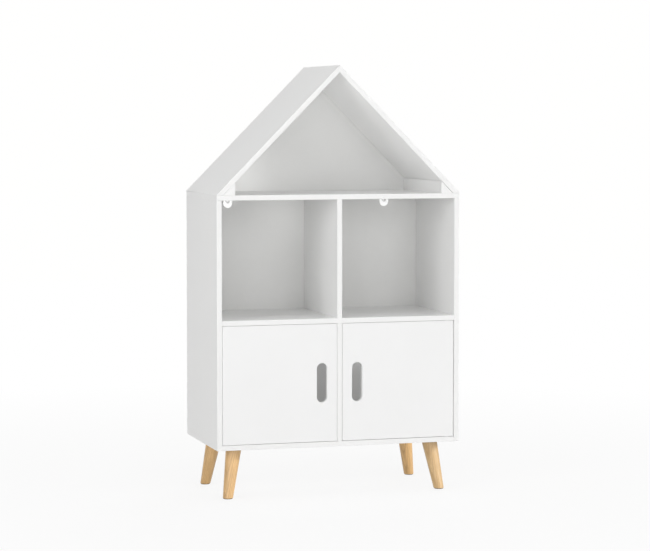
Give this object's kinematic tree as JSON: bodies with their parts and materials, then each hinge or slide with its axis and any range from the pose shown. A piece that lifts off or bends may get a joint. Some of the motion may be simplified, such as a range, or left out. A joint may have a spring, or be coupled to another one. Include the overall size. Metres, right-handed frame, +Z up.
{
  "type": "children's bookcase",
  "caption": "White house-shaped children's bookcase with a pitched attic, open compartments, inset doors with finger slots, and splayed wooden legs.",
  "frame": {"origin": "on the floor, under the middle of the case's footprint", "axes": "+Z up, +Y towards the back, +X to the right as seen from the front"},
  "size_m": [0.6, 0.31, 1.0252],
  "materials": {
    "board_white": "satin white lacquer on fibreboard",
    "door_white": "satin white lacquer on fibreboard",
    "back_sheet": "matt white thin fibreboard",
    "leg_wood": "clear matt varnish on solid wood",
    "dowel_wood": "raw",
    "zinc_steel": "zinc plated",
    "white_plastic": "gloss",
    "magnet": "matt",
    "glide": "matt"
  },
  "bodies": {
    "case": {"side_panel_left": "board_white", "side_panel_right": "board_white", "bottom_panel": "board_white", "middle_shelf": "board_white", "attic_floor": "board_white", "lower_divider": "board_white", "upper_divider": "board_white", "roof_panel_left": "board_white", "roof_panel_right": "board_white", "eave_block_left": "board_white", "eave_block_right": "board_white", "back_panel": "back_sheet", "gable_back": "back_sheet", "hinge_bushes_left": "white_plastic", "hinge_bushes_right": "white_plastic", "catch_housing_left": "white_plastic", "catch_housing_right": "white_plastic", "catch_magnets": "magnet", "catch_screws": "zinc_steel", "leg_front_left": "leg_wood", "leg_front_right": "leg_wood", "leg_rear_left": "leg_wood", "leg_rear_right": "leg_wood", "leg_plate_front_left": "zinc_steel", "leg_plate_front_right": "zinc_steel", "leg_plate_rear_left": "zinc_steel", "leg_plate_rear_right": "zinc_steel", "leg_bolts": "zinc_steel", "leg_plate_screws": "zinc_steel", "foot_glides": "glide", "wall_bracket_left": "white_plastic", "wall_bracket_right": "white_plastic", "wall_bracket_screws": "zinc_steel", "cam_locks": "zinc_steel", "cam_bolts": "zinc_steel", "cam_covers": "white_plastic", "side_dowels": "dowel_wood", "divider_dowels": "dowel_wood", "divider_screws": "zinc_steel", "deck_screws": "zinc_steel", "eave_block_screws": "zinc_steel", "roof_foot_dowels": "dowel_wood", "ridge_dowels": "dowel_wood", "back_panel_screws": "zinc_steel"},
    "left_door": {"door_left": "door_white", "hinge_pins_left": "zinc_steel", "strike_plate_left": "zinc_steel", "strike_screw_left": "zinc_steel"},
    "right_door": {"door_right": "door_white", "hinge_pins_right": "zinc_steel", "strike_plate_right": "zinc_steel", "strike_screw_right": "zinc_steel"}
  },
  "joints": [
    {"name": "left_door_hinge", "type": "hinge", "parent": "case", "child": "left_door", "pos_m": [-0.2712, -0.1485, 0.273], "axis": [0, 0, -1], "range_deg": [0, 110]},
    {"name": "right_door_hinge", "type": "hinge", "parent": "case", "child": "right_door", "pos_m": [0.2712, -0.1485, 0.273], "axis": [0, 0, 1], "range_deg": [0, 110]}
  ]
}
